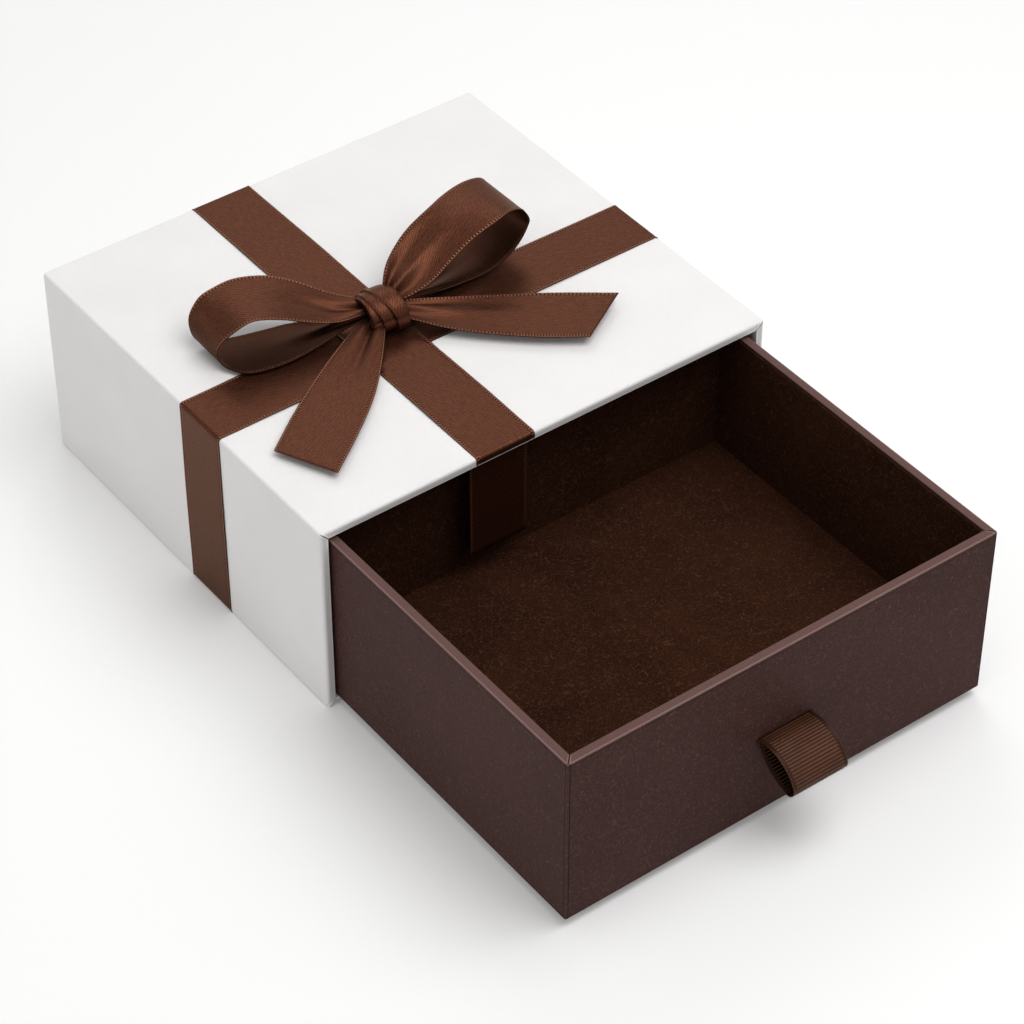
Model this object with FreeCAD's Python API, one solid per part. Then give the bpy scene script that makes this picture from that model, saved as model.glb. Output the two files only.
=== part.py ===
import FreeCAD, Part
import math
import os

Vector = FreeCAD.Vector

# Sliding drawer gift box: a paper-wrapped greyboard sleeve, a tray that slides in it on its
# own base, a ribbon tied round the sleeve with a bow, and a ribbon loop to pull the tray by.
# X runs across the mouth, Y from the mouth to the back, Z up.  All sizes in millimetres.
# The origin is on the table, under the middle of the whole box with its drawer pulled out.

# ------------------------------------------------------------------ driving dimensions
# Sleeve
sleeve_width = 356.0          # outside, across the mouth
sleeve_height = 150.0         # outside
sleeve_depth = 330.0          # outside, mouth to back
sleeve_board = 5.0            # greyboard
sleeve_radius = 2.0           # rounding that the wrap gives every outer edge
sleeve_turn_in = 18.0         # how far the wrap folds into the mouth

# Paper
paper = 0.5                   # wrap and lining paper with its glue

# Drawer
drawer_depth = 269.0          # outside, front to back
drawer_board = 5.1            # greyboard
drawer_radius = 1.6           # rounding of the wrapped edges and rim
drawer_turn_in = 18.0         # how far the wrap folds down inside the rim
drawer_open = 240.0           # how far the front stands out of the mouth as drawn
side_clearance = 3.75         # drawer to sleeve on each side when it runs in the middle
side_shift = 1.75             # how far it sits to the left of the middle
top_clearance = 3.5           # drawer rim to sleeve ceiling
base_clearance = 0.3          # drawer base to sleeve floor

# Drawer lining and raised floor
suede_card = 1.0              # suede paper on thin card, on the four walls
suede_drop = 2.0              # wall lining starts this far below the rim
platform_height = 28.0        # raised floor above the drawer's base
platform_board = 2.0          # folded board under the suede
platform_suede = 0.7          # suede sheet on the raised floor
platform_gap = 0.3            # raised floor to wall lining
platform_radius = 0.6         # folded edges of the raised floor

# Stop behind the drawer
stop_board = 2.5              # folded board
stop_height = 100.0
stop_side_gap = 1.0           # stop to the sleeve's side walls
stop_clearance = 0.5          # drawer back to stop when closed
stop_radius = 0.8

# Ribbon tied round the sleeve
ribbon_width = 46.0
ribbon_thickness = 0.5
lengthwise_centre = -35.5     # X of the band that runs mouth to back
crosswise_centre = 136.0      # the other band's middle, back from the mouth
crosswise_tuck = 35.0         # how far the crosswise ends fold under the base
band_ramp = 4.0               # run in which one band climbs over the other
base_end = 8.0                # lengthwise band ends this far behind the mouth, underneath
tail_clearance = 0.5          # hanging end to the closed drawer front
tail_drop = 82.5              # hanging end below the lip
tail_bend = 1.0               # bend where the end turns down from the lip

# Bow
bow_x = -27.5                 # knot, from the middle of the sleeve
bow_back = 149.0              # knot, back from the mouth
knot_radius = 12.5            # of the knot's outermost turn of ribbon
knot_turns = (11.2, 8.6, 4.2)  # widths of the turns that show, from the right
knot_step = 0.9               # each turn's crown below the one before
knot_roll = 1.6               # rounding of each turn's two edges
knot_heading = -4.0           # direction of the knot's axis, degrees from +X
bow_ribbon = 0.6              # thickness of the ribbon in loops and tails
gather_width = 12.0           # width of the pleated ribbon at the knot
gather_run = 85.0             # distance from the knot at which it is full width
loop_root_swell = 0.27        # share of a loop's swell that it already has at the knot
loop_opening = 14.0           # degrees of the teardrop's turn left open at the knot
left_loop_heading = 161.0
left_loop_reach = 120.0
left_loop_lift = 5.5          # rise of the loop's middle line over its reach
left_loop_arch = 3.5          # bow of that middle line above straight
left_loop_swell = 24.5        # half height of the loop's teardrop near its far end
right_loop_heading = 11.0
right_loop_reach = 121.0
right_loop_lift = 21.0
right_loop_arch = -2.0
right_loop_swell = 28.5
front_tail_heading = 217.0
front_tail_length = 152.0
front_tail_root = 8.0         # height at the knot
front_tail_cut = -12.0        # slant of the cut end, degrees
right_tail_heading = -37.0
right_tail_length = 148.0
right_tail_root = 13.0
right_tail_cut = -24.0
tail_rest = 5.0               # height of a bow tail's middle above the crossing
tail_wave = 1.5

# Pull tab on the drawer front
tab_width = 43.0
tab_thickness = 0.8
tab_bend_radius = 6.5         # outside radius of the loop's tight bend
tab_bend_reach = 32.5         # slit to the centre of that bend
tab_upper_curve = 27.0        # outside radius of the loop's upper strand
tab_lower_curve = 40.0        # outside radius of its lower strand
tab_droop = 30.0              # degrees that the loop hangs below level
tab_nose = 0.2                # inside radius where the two strands meet at the slit
tab_slit_clearance = 0.2      # round the doubled ribbon in its slit
tab_glued_end = 14.0          # each end, glued up or down inside the board
tab_recess_clearance = 0.1    # round the glued ends, in the back of the front lining
tab_below_rim = 69.5          # slit below the drawer's rim

# ------------------------------------------------------------------ places worked out
sleeve_wall = sleeve_board + 2 * paper
drawer_wall = drawer_board + 2 * paper
lined_wall = drawer_wall + suede_card

tab_nose_out = tab_nose + tab_thickness
tab_bend_out = tab_nose_out + tab_bend_reach * math.cos(math.radians(tab_droop))
tab_reach = tab_bend_out + tab_bend_radius
knot_half_length = sum(knot_turns) / 2

mouth_y = (drawer_open + tab_reach - sleeve_depth - ribbon_thickness) / 2
base_z = ribbon_thickness
sleeve_low = Vector(-sleeve_width / 2, mouth_y, base_z)
sleeve_high = Vector(sleeve_width / 2, mouth_y + sleeve_depth, base_z + sleeve_height)
top_z = sleeve_high.z
lip_z = top_z - sleeve_wall

drawer_low = Vector(sleeve_low.x + sleeve_wall + side_clearance - side_shift,
                    mouth_y - drawer_open,
                    base_z + sleeve_wall + base_clearance)
drawer_high = Vector(sleeve_high.x - sleeve_wall - side_clearance - side_shift,
                     drawer_low.y + drawer_depth,
                     lip_z - top_clearance)
drawer_centre_x = (drawer_low.x + drawer_high.x) / 2
drawer_floor_z = drawer_low.z + drawer_wall
platform_z = drawer_floor_z + platform_height
tab_z = drawer_high.z - tab_below_rim

hanging_y = mouth_y + lined_wall + tail_clearance
crossing_y = mouth_y + crosswise_centre
bow_foot = Vector(bow_x, mouth_y + bow_back, top_z + 2 * ribbon_thickness)

# Each side of a box as its axis, 0 to 2, and the direction that it faces along it.
SIDES = {"left": (0, -1), "right": (0, 1), "front": (1, -1), "back": (1, 1),
         "base": (2, -1), "top": (2, 1)}
FRONT, BACK = SIDES["front"], SIDES["back"]
BASE, TOP = SIDES["base"], SIDES["top"]

X_AXIS = Vector(1, 0, 0)
Y_AXIS = Vector(0, 1, 0)
Z_AXIS = Vector(0, 0, 1)
PAST = 5.0                    # how far a cutter runs past what it cuts
SAME = 0.01                   # places closer than this are one place
LOOP_STEPS = 20               # steps along a bow loop, an even count
TAIL_STEPS = 8                # steps along a bow tail, an even count


# ------------------------------------------------------------------ shared shapes
def block(low, high):
    """A plain box between two corners."""
    size = high - low
    return Part.makeBox(size.x, size.y, size.z, low)


def grown(low, high, amount):
    """The two corners of a box moved outwards by an amount, or inwards if it is negative."""
    step = Vector(amount, amount, amount)
    return low - step, high + step


def past_side(low, high, side, amount):
    """The two corners of a box with one side moved outwards."""
    axis, sign = side
    low, high = Vector(low), Vector(high)
    if sign < 0:
        low[axis] = low[axis] - amount
    else:
        high[axis] = high[axis] + amount
    return low, high


def edges_on(shape, side, level, low, high):
    """Edges that lie in the plane of one side and inside the given box."""
    axis = side[0]
    zone = FreeCAD.BoundBox(low.x, low.y, low.z, high.x, high.y, high.z)
    zone.enlarge(SAME)
    found = []
    for edge in shape.Edges:
        box = edge.BoundBox
        ends = (box.getPoint(0)[axis], box.getPoint(6)[axis])
        if max(abs(end - level) for end in ends) < SAME and zone.isInside(box):
            found.append(edge)
    return found


def open_box(low, high, wall, inset, radius, mouth):
    """A box with one side open and every edge rounded, its skin moved into the wall by inset."""
    outer_low, outer_high = grown(low, high, -inset)
    outer = block(outer_low, outer_high)
    outer = outer.makeFillet(radius - inset, outer.Edges)
    hollow_low, hollow_high = grown(low, high, inset - wall)
    hollow_low, hollow_high = past_side(hollow_low, hollow_high, mouth, wall + PAST)
    shell = outer.cut(block(hollow_low, hollow_high))
    axis, sign = mouth
    level = outer_low[axis] if sign < 0 else outer_high[axis]
    return shell.makeFillet(radius - inset, edges_on(shell, mouth, level, hollow_low, hollow_high))


def rectangle(axis, level, low, high):
    """The four corners of a rectangle across one axis."""
    first, second = [a for a in range(3) if a != axis]
    points = []
    for a, b in ((low[first], low[second]), (high[first], low[second]),
                 (high[first], high[second]), (low[first], high[second])):
        point = Vector()
        point[axis] = level
        point[first] = a
        point[second] = b
        points.append(point)
    return points


def flat_sided(first, second):
    """A solid with flat sides between two outlines of four corners each."""
    loops = [first, second]
    for i in range(4):
        j = (i + 1) % 4
        loops.append([first[i], first[j], second[j], second[i]])
    faces = [Part.Face(Part.makePolygon(loop + loop[:1])) for loop in loops]
    return closed_solid(faces)


def closed_solid(faces):
    """The solid inside a closed set of faces, right side out."""
    shell = Part.makeShell(faces)
    shell.sewShape()
    solid = Part.makeSolid(shell)
    if solid.Volume < 0:
        solid.reverse()
    return solid


def mitred_board(low, high, thickness, side, square=(), margin=0.0):
    """One board of a box, mitred to its neighbours except on the sides named as square.

    A margin carries the board on past its outer face and its square ends, to be trimmed.
    """
    axis, sign = side
    outlines = []
    for depth in (-margin, thickness):
        face_low, face_high = Vector(low), Vector(high)
        for other in range(3):
            if other != axis:
                face_low[other] = low[other] + (-margin if (other, -1) in square else depth)
                face_high[other] = high[other] - (-margin if (other, 1) in square else depth)
        level = low[axis] + depth if sign < 0 else high[axis] - depth
        outlines.append(rectangle(axis, level, face_low, face_high))
    return flat_sided(*outlines)


def box_boards(low, high, board, radius, mouth):
    """The five mitred boards under the paper of an open box, by the name of their side."""
    shell = open_box(low, high, board + 2 * paper, paper, radius, mouth)
    board_low, board_high = grown(low, high, -paper)
    boards = {}
    for name, side in SIDES.items():
        if side != mouth:
            panel = mitred_board(board_low, board_high, board, side, (mouth,), PAST)
            boards[name] = shell.common(panel)
    return boards


def paper_skin(low, high, board, radius, mouth):
    """Paper over the whole surface of the boards of an open box, inside and out."""
    wall = board + 2 * paper
    outside = open_box(low, high, wall, 0.0, radius, mouth)
    return outside.cut(open_box(low, high, wall, paper, radius, mouth))


def behind_turn_in(low, high, wall, mouth, turn_in):
    """The inside of an open box as far as the paper that is folded in at its mouth."""
    zone_low, zone_high = grown(low, high, paper - wall)
    return block(*past_side(zone_low, zone_high, mouth, wall - paper - turn_in))


def rounded_outline(corners, place):
    """A closed wire through (a, b, radius) corners, put into space by place(a, b)."""
    edges = []
    last_end = None
    first_start = None
    count = len(corners)
    for i, (a, b, radius) in enumerate(corners):
        here = Vector(a, b, 0)
        start = end = here
        if radius > 0:
            before = Vector(corners[i - 1][0], corners[i - 1][1], 0) - here
            after = Vector(corners[(i + 1) % count][0], corners[(i + 1) % count][1], 0) - here
            before.normalize()
            after.normalize()
            half = before.getAngle(after) / 2
            start = here + before * (radius / math.tan(half))
            end = here + after * (radius / math.tan(half))
            inward = before + after
            inward.normalize()
            middle = here + inward * (radius / math.sin(half) - radius)
        if last_end is not None:
            edges.append(Part.LineSegment(place(last_end), place(start)).toShape())
        if radius > 0:
            edges.append(Part.Arc(place(start), place(middle), place(end)).toShape())
        first_start = first_start or start
        last_end = end
    edges.append(Part.LineSegment(place(last_end), place(first_start)).toShape())
    return Part.Wire(edges)


# ------------------------------------------------------------------ sleeve
def sleeve_parts():
    boards = box_boards(sleeve_low, sleeve_high, sleeve_board, sleeve_radius, FRONT)
    parts = {"sleeve_" + name + "_board": board for name, board in boards.items()}
    skin = paper_skin(sleeve_low, sleeve_high, sleeve_board, sleeve_radius, FRONT)
    inside = behind_turn_in(sleeve_low, sleeve_high, sleeve_wall, FRONT, sleeve_turn_in)
    parts["sleeve_wrap"] = skin.cut(inside)
    parts["sleeve_lining"] = skin.common(inside)
    parts["drawer_stop"] = drawer_stop()
    return parts


def drawer_stop():
    """A folded board box, open to the back, that the closed drawer comes up against."""
    room_low, room_high = grown(sleeve_low, sleeve_high, -sleeve_wall)
    low = Vector(room_low.x + stop_side_gap,
                 mouth_y + drawer_depth + stop_clearance,
                 room_low.z)
    high = Vector(room_high.x - stop_side_gap, room_high.y, room_low.z + stop_height)
    return open_box(low, high, stop_board, 0.0, stop_radius, BACK)


# ------------------------------------------------------------------ ribbon round the sleeve
def lengthwise_band():
    """From the hanging end, round the lip, over the top, down the back and under the base."""
    t = ribbon_thickness
    r = sleeve_radius
    back_y = sleeve_high.y
    hanging_end = lip_z - tail_drop
    low_step = crossing_y - ribbon_width / 2
    high_step = crossing_y + ribbon_width / 2
    sleeve_side = [
        (hanging_y + t, hanging_end, 0),
        (hanging_y + t, lip_z, tail_bend + t),
        (mouth_y, lip_z, r),
        (mouth_y, top_z, r),
        (low_step - band_ramp, top_z, 0),
        (low_step, top_z + t, 0),
        (high_step, top_z + t, 0),
        (high_step + band_ramp, top_z, 0),
        (back_y, top_z, r),
        (back_y, base_z, r),
        (mouth_y + base_end, base_z, 0)]
    outer_side = [
        (mouth_y + base_end, base_z - t, 0),
        (back_y + t, base_z - t, r + t),
        (back_y + t, top_z + t, r + t),
        (high_step + band_ramp, top_z + t, 0),
        (high_step, top_z + 2 * t, 0),
        (low_step, top_z + 2 * t, 0),
        (low_step - band_ramp, top_z + t, 0),
        (mouth_y - t, top_z + t, r + t),
        (mouth_y - t, lip_z - t, r + t),
        (hanging_y, lip_z - t, tail_bend),
        (hanging_y, hanging_end, 0)]
    left = lengthwise_centre - ribbon_width / 2
    wire = rounded_outline(sleeve_side + outer_side, lambda p: Vector(left, p.x, p.y))
    return Part.Face(wire).extrude(X_AXIS * ribbon_width)


def crosswise_band():
    """Across the top, down both sides and tucked under the base."""
    t = ribbon_thickness
    r = sleeve_radius
    left, right = sleeve_low.x, sleeve_high.x
    sleeve_side = [
        (left + crosswise_tuck, base_z, 0),
        (left, base_z, r),
        (left, top_z, r),
        (right, top_z, r),
        (right, base_z, r),
        (right - crosswise_tuck, base_z, 0)]
    outer_side = [
        (right - crosswise_tuck, base_z - t, 0),
        (right + t, base_z - t, r + t),
        (right + t, top_z + t, r + t),
        (left - t, top_z + t, r + t),
        (left - t, base_z - t, r + t),
        (left + crosswise_tuck, base_z - t, 0)]
    front = crossing_y - ribbon_width / 2
    wire = rounded_outline(sleeve_side + outer_side, lambda p: Vector(p.x, front, p.y))
    return Part.Face(wire).extrude(Y_AXIS * ribbon_width)


# ------------------------------------------------------------------ bow
def heading(degrees):
    """Level directions along a heading and across it, the second one towards the mouth."""
    angle = math.radians(degrees)
    along = Vector(math.cos(angle), math.sin(angle), 0)
    across = Vector(math.sin(angle), -math.cos(angle), 0)
    if across.y > 0:
        across = -across
    return along, across


def gathered_half_width(out):
    """Half the ribbon's width at a distance from the knot, where it is pleated."""
    share = min(max((out - knot_half_length) / (gather_run - knot_half_length), 0.0), 1.0)
    ease = math.sin(share * math.pi / 2)
    return (gather_width + (ribbon_width - gather_width) * ease) / 2


def slid_to_plane(point, direction, base, normal):
    """The place where a point, slid along a direction, comes to a plane."""
    return point + direction * ((base - point).dot(normal) / direction.dot(normal))


def knot_end(along):
    """A point and the outward direction of the knot's flat end on the side of a heading."""
    outward = heading(knot_heading)[0]
    if outward.dot(along) < 0:
        outward = -outward
    return bow_foot + outward * knot_half_length, outward


def ribbon_along(outline, along, across):
    """Sections of a bow ribbon that follows (out, up) points from the knot's foot."""
    centres = [bow_foot + along * out + Z_AXIS * up for out, up in outline]
    last = len(centres) - 1
    sections = []
    for i, centre in enumerate(centres):
        tangent = centres[min(i + 1, last)] - centres[max(i - 1, 0)]
        side = across * gathered_half_width(outline[i][0])
        half = tangent.cross(across).normalize() * (bow_ribbon / 2)
        sections.append([centre - side - half, centre + side - half,
                         centre + side + half, centre - side + half])
    return sections


def ribbon_solid(sections):
    """A closed thin solid through sections of four corners, smooth along its run."""
    count = len(sections) - 1
    steps = [i / count for i in range(count + 1)]
    rails = []
    for corner in range(4):
        curve = Part.BSplineCurve()
        curve.interpolate(Points=[section[corner] for section in sections], Parameters=steps)
        rails.append(curve)
    faces = []
    for i in range(0, count, 2):
        edges = [rail.toShape(steps[i], steps[i + 2]) for rail in rails]
        faces += [Part.makeRuledSurface(edges[j], edges[(j + 1) % 4]) for j in range(4)]
    for section in (sections[0], sections[-1]):
        faces.append(Part.Face(Part.makePolygon(section + section[:1])))
    return closed_solid(faces)


def bow_loop(degrees, reach, loop_lift, arch, swell):
    """A teardrop loop of ribbon that stands on the sleeve, both its ends at the knot's end."""
    along, across = heading(degrees)
    root = knot_half_length / along.dot(knot_end(along)[1])
    span = reach - root
    turn = math.radians(360.0 - 2 * loop_opening)
    outline = []
    for i in range(LOOP_STEPS + 1):
        phase = math.radians(loop_opening) + turn * i / LOOP_STEPS
        out = root + span * (1 - math.cos(phase)) / 2
        share = out / reach
        swell_here = swell * (loop_root_swell + (1 - loop_root_swell) * share)
        middle = knot_radius + loop_lift * share + arch * math.sin(math.pi * share)
        up = middle + swell_here * math.sin(phase)
        outline.append((out, up))
    strip = ribbon_along(outline, along, across)
    for end in (0, -1):
        strip[end] = [slid_to_plane(p, along, *knot_end(along)) for p in strip[end]]
    return ribbon_solid(strip)


def bow_tail(degrees, length, root_height, cut_angle):
    """A loose end of ribbon that lies over the sleeve's top and is cut on the slant."""
    along, across = heading(degrees)
    root = knot_half_length / along.dot(knot_end(along)[1])
    outline = []
    for i in range(TAIL_STEPS + 1):
        share = i / TAIL_STEPS
        out = root + (length - root) * share
        fall = (root_height - tail_rest) * (1 - share) ** 2
        outline.append((out, tail_rest + fall + tail_wave * math.sin(2 * math.pi * share)))
    strip = ribbon_along(outline, along, across)
    strip[0] = [slid_to_plane(p, along, *knot_end(along)) for p in strip[0]]
    cut_normal = heading(degrees + cut_angle)[0]
    tip = bow_foot + along * length
    strip[-1] = [slid_to_plane(p, along, tip, cut_normal) for p in strip[-1]]
    return ribbon_solid(strip)


def bow_knot():
    """A barrel of ribbon wound round the pleats, each turn a step below the one before."""
    outline = [(knot_half_length, 0)]
    right, crown, shoulder = knot_half_length, knot_radius, knot_roll / 3
    for width in knot_turns:
        left = right - width
        outline += [(right, crown - knot_roll), (right - shoulder, crown - shoulder),
                    (right - knot_roll, crown), (left + knot_roll, crown),
                    (left + shoulder, crown - shoulder), (left, crown - knot_roll)]
        right = left
        crown -= knot_step
    outline.append((-knot_half_length, 0))
    points = [Vector(x, radius, 0) for x, radius in outline]
    knot = Part.Face(Part.makePolygon(points + points[:1])).revolve(Vector(), X_AXIS, 360)
    knot.rotate(Vector(), Z_AXIS, knot_heading)
    knot.translate(bow_foot + Z_AXIS * knot_radius)
    return knot


def bow_parts():
    return {
        "bow_knot": bow_knot(),
        "bow_loop_left": bow_loop(left_loop_heading, left_loop_reach, left_loop_lift,
                                  left_loop_arch, left_loop_swell),
        "bow_loop_right": bow_loop(right_loop_heading, right_loop_reach, right_loop_lift,
                                   right_loop_arch, right_loop_swell),
        "bow_tail_front": bow_tail(front_tail_heading, front_tail_length, front_tail_root,
                                   front_tail_cut),
        "bow_tail_right": bow_tail(right_tail_heading, right_tail_length, right_tail_root,
                                   right_tail_cut)}


# ------------------------------------------------------------------ pull tab
def point_towards(centre, target, radius):
    """The point at a radius from a centre, in the direction of a target."""
    return centre + (target - centre).normalize() * radius


def strand_centre(nose, bend, curve, side):
    """The centre of a strand's arc that runs flush into the circles of its nose and its bend."""
    to_nose = curve - tab_nose_out
    to_bend = curve - tab_bend_radius
    along = bend - nose
    distance = along.Length
    along.normalize()
    out = (to_nose ** 2 - to_bend ** 2 + distance ** 2) / (2 * distance)
    rise = math.sqrt(to_nose ** 2 - out ** 2)
    return nose + along * out + X_AXIS.cross(along) * (side * rise)


def loop_outline(nose, bend, inset):
    """The loop's side outline, four arcs that run into one another, moved in by an inset."""
    upper = strand_centre(nose, bend, tab_upper_curve, 1)
    lower = strand_centre(nose, bend, tab_lower_curve, -1)
    upper_curve = tab_upper_curve - inset
    lower_curve = tab_lower_curve - inset
    upper_near = point_towards(upper, nose, upper_curve)
    upper_far = point_towards(upper, bend, upper_curve)
    lower_near = point_towards(lower, nose, lower_curve)
    lower_far = point_towards(lower, bend, lower_curve)
    upper_middle = point_towards(upper, (upper_near + upper_far) * 0.5, upper_curve)
    lower_middle = point_towards(lower, (lower_near + lower_far) * 0.5, lower_curve)
    far = point_towards(bend, bend * 2 - nose, tab_bend_radius - inset)
    near = point_towards(nose, nose * 2 - bend, tab_nose_out - inset)
    arcs = ((upper_near, upper_middle, upper_far), (upper_far, far, lower_far),
            (lower_far, lower_middle, lower_near), (lower_near, near, upper_near))
    return Part.Wire([Part.Arc(*arc).toShape() for arc in arcs])


def tab_glue_zone(extra):
    """Where the tab's two ends lie against the inside of the front board."""
    y = drawer_low.y + paper + drawer_board
    half_width = tab_width / 2 + extra
    low = Vector(drawer_centre_x - half_width, y, tab_z - tab_glued_end - extra)
    high = Vector(drawer_centre_x + half_width, y + tab_thickness + extra,
                  tab_z + tab_glued_end + extra)
    return block(low, high)


def tab_slit():
    """The slit through the wrap and the front board, for two thicknesses of tab."""
    half_width = tab_width / 2 + tab_slit_clearance
    half_height = tab_thickness + tab_slit_clearance
    low = Vector(drawer_centre_x - half_width, drawer_low.y - PAST, tab_z - half_height)
    high = Vector(drawer_centre_x + half_width, drawer_low.y + paper + drawer_board,
                  tab_z + half_height)
    return block(low, high)


def pull_tab():
    """A loop of grosgrain ribbon: both strands go through the slit and part inside."""
    left = drawer_centre_x - tab_width / 2
    right = left + tab_width
    droop = math.radians(tab_droop)
    nose = Vector(left, drawer_low.y - tab_nose_out, tab_z)
    bend = nose + Vector(0, -math.cos(droop), -math.sin(droop)) * tab_bend_reach
    loop = Part.Face(loop_outline(nose, bend, 0.0)).extrude(X_AXIS * tab_width)
    loop = loop.cut(Part.Face(loop_outline(nose, bend, tab_thickness)).extrude(X_AXIS * tab_width))
    stem = block(Vector(left, nose.y + tab_nose, tab_z - tab_thickness),
                 Vector(right, drawer_low.y + paper + drawer_board, tab_z + tab_thickness))
    return loop.fuse([stem, tab_glue_zone(0.0)]).removeSplitter()


# ------------------------------------------------------------------ drawer
def drawer_parts():
    boards = box_boards(drawer_low, drawer_high, drawer_board, drawer_radius, TOP)
    boards["front"] = boards["front"].cut(tab_slit())
    parts = {"drawer_" + name + "_board": board for name, board in boards.items()}
    skin = paper_skin(drawer_low, drawer_high, drawer_board, drawer_radius, TOP)
    inside = behind_turn_in(drawer_low, drawer_high, drawer_wall, TOP, drawer_turn_in)
    wrap = skin.cut(inside).cut(tab_slit())
    parts["drawer_wrap"] = wrap
    parts.update(wall_linings(wrap))
    parts.update(platform_parts())
    parts["pull_tab"] = pull_tab()
    return parts


def wall_linings(wrap):
    """Suede-covered cards on the four walls, mitred, over the wrap's turned-in edge."""
    low, high = grown(drawer_low, drawer_high, paper - drawer_wall)
    low.z = drawer_low.z + paper + drawer_board
    high.z = drawer_high.z - suede_drop
    linings = {}
    for name in ("front", "back", "left", "right"):
        card = mitred_board(low, high, paper + suede_card, SIDES[name], (BASE, TOP)).cut(wrap)
        linings["lining_" + name] = card
    linings["lining_front"] = linings["lining_front"].cut(tab_glue_zone(tab_recess_clearance))
    return linings


def platform_parts():
    """The raised floor: a board folded down on four sides, with suede glued on top."""
    low, high = grown(drawer_low, drawer_high, -lined_wall - platform_gap)
    low.z = drawer_low.z + paper + drawer_board
    high.z = platform_z - platform_suede
    board = open_box(low, high, platform_board, 0.0, platform_radius, BASE)
    sheet = block(Vector(low.x, low.y, high.z), Vector(high.x, high.y, platform_z))
    rim = edges_on(sheet, TOP, platform_z, low, Vector(high.x, high.y, platform_z))
    sheet = sheet.makeFillet(platform_radius / 2, rim)
    return {"platform_board": board, "platform_suede": sheet}


# ------------------------------------------------------------------ write the parts
def all_parts():
    parts = sleeve_parts()
    parts["ribbon_lengthwise"] = lengthwise_band()
    parts["ribbon_crosswise"] = crosswise_band()
    parts.update(bow_parts())
    parts.update(drawer_parts())
    return parts


def main():
    os.makedirs("parts", exist_ok=True)
    for name, shape in all_parts().items():
        solid = shape.Solids[0] if len(shape.Solids) == 1 else Part.makeCompound(shape.Solids)
        solid.exportStep(os.path.join("parts", name + ".step"))
        box = solid.BoundBox
        print(name, len(shape.Solids), "solid", round(solid.Volume, 1), "mm3, valid", solid.isValid(),
              [round(v, 2) for v in (box.XMin, box.YMin, box.ZMin, box.XMax, box.YMax, box.ZMax)])


main()
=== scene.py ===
import bpy
import bmesh
import math
import numpy as np
from mathutils import Vector, Matrix


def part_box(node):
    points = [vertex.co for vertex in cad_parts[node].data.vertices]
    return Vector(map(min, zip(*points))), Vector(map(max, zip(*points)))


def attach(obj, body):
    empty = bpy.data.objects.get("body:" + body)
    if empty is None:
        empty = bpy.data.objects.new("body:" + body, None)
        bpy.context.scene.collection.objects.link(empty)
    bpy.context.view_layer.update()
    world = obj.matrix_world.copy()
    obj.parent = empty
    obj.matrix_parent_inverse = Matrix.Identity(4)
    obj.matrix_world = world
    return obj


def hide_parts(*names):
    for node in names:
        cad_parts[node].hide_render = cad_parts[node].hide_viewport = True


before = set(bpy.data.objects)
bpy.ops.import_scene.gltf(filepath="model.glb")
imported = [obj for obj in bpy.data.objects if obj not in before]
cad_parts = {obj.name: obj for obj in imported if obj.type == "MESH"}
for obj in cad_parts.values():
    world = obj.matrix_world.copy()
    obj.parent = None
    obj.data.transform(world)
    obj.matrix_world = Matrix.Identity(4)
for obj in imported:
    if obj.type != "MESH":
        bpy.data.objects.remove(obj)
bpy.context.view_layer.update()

MM = 0.001
SCENE = bpy.context.scene


# ------------------------------------------------------------------ camera, floor and lamps
def set_up_camera():
    focal_length, stand_point = 120.482, (-1.021543, -1.352204, 1.560243)
    lens = bpy.data.cameras.new("camera")
    lens.lens = focal_length
    lens.sensor_width = 36.0
    lens.clip_end = 50.0
    camera = bpy.data.objects.new("camera", lens)
    SCENE.collection.objects.link(camera)
    azimuth, elevation = -0.6423370542563377, 0.7260376319304216
    ahead = Vector((-math.sin(azimuth) * math.cos(elevation),
                    math.cos(azimuth) * math.cos(elevation),
                    -math.sin(elevation)))
    side = Vector((math.cos(azimuth), math.sin(azimuth), 0))
    above = side.cross(ahead)
    camera.matrix_world = Matrix.Translation(stand_point) @ Matrix(
        (side, above, -ahead)).transposed().to_4x4()
    SCENE.camera = camera


set_up_camera()


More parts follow.
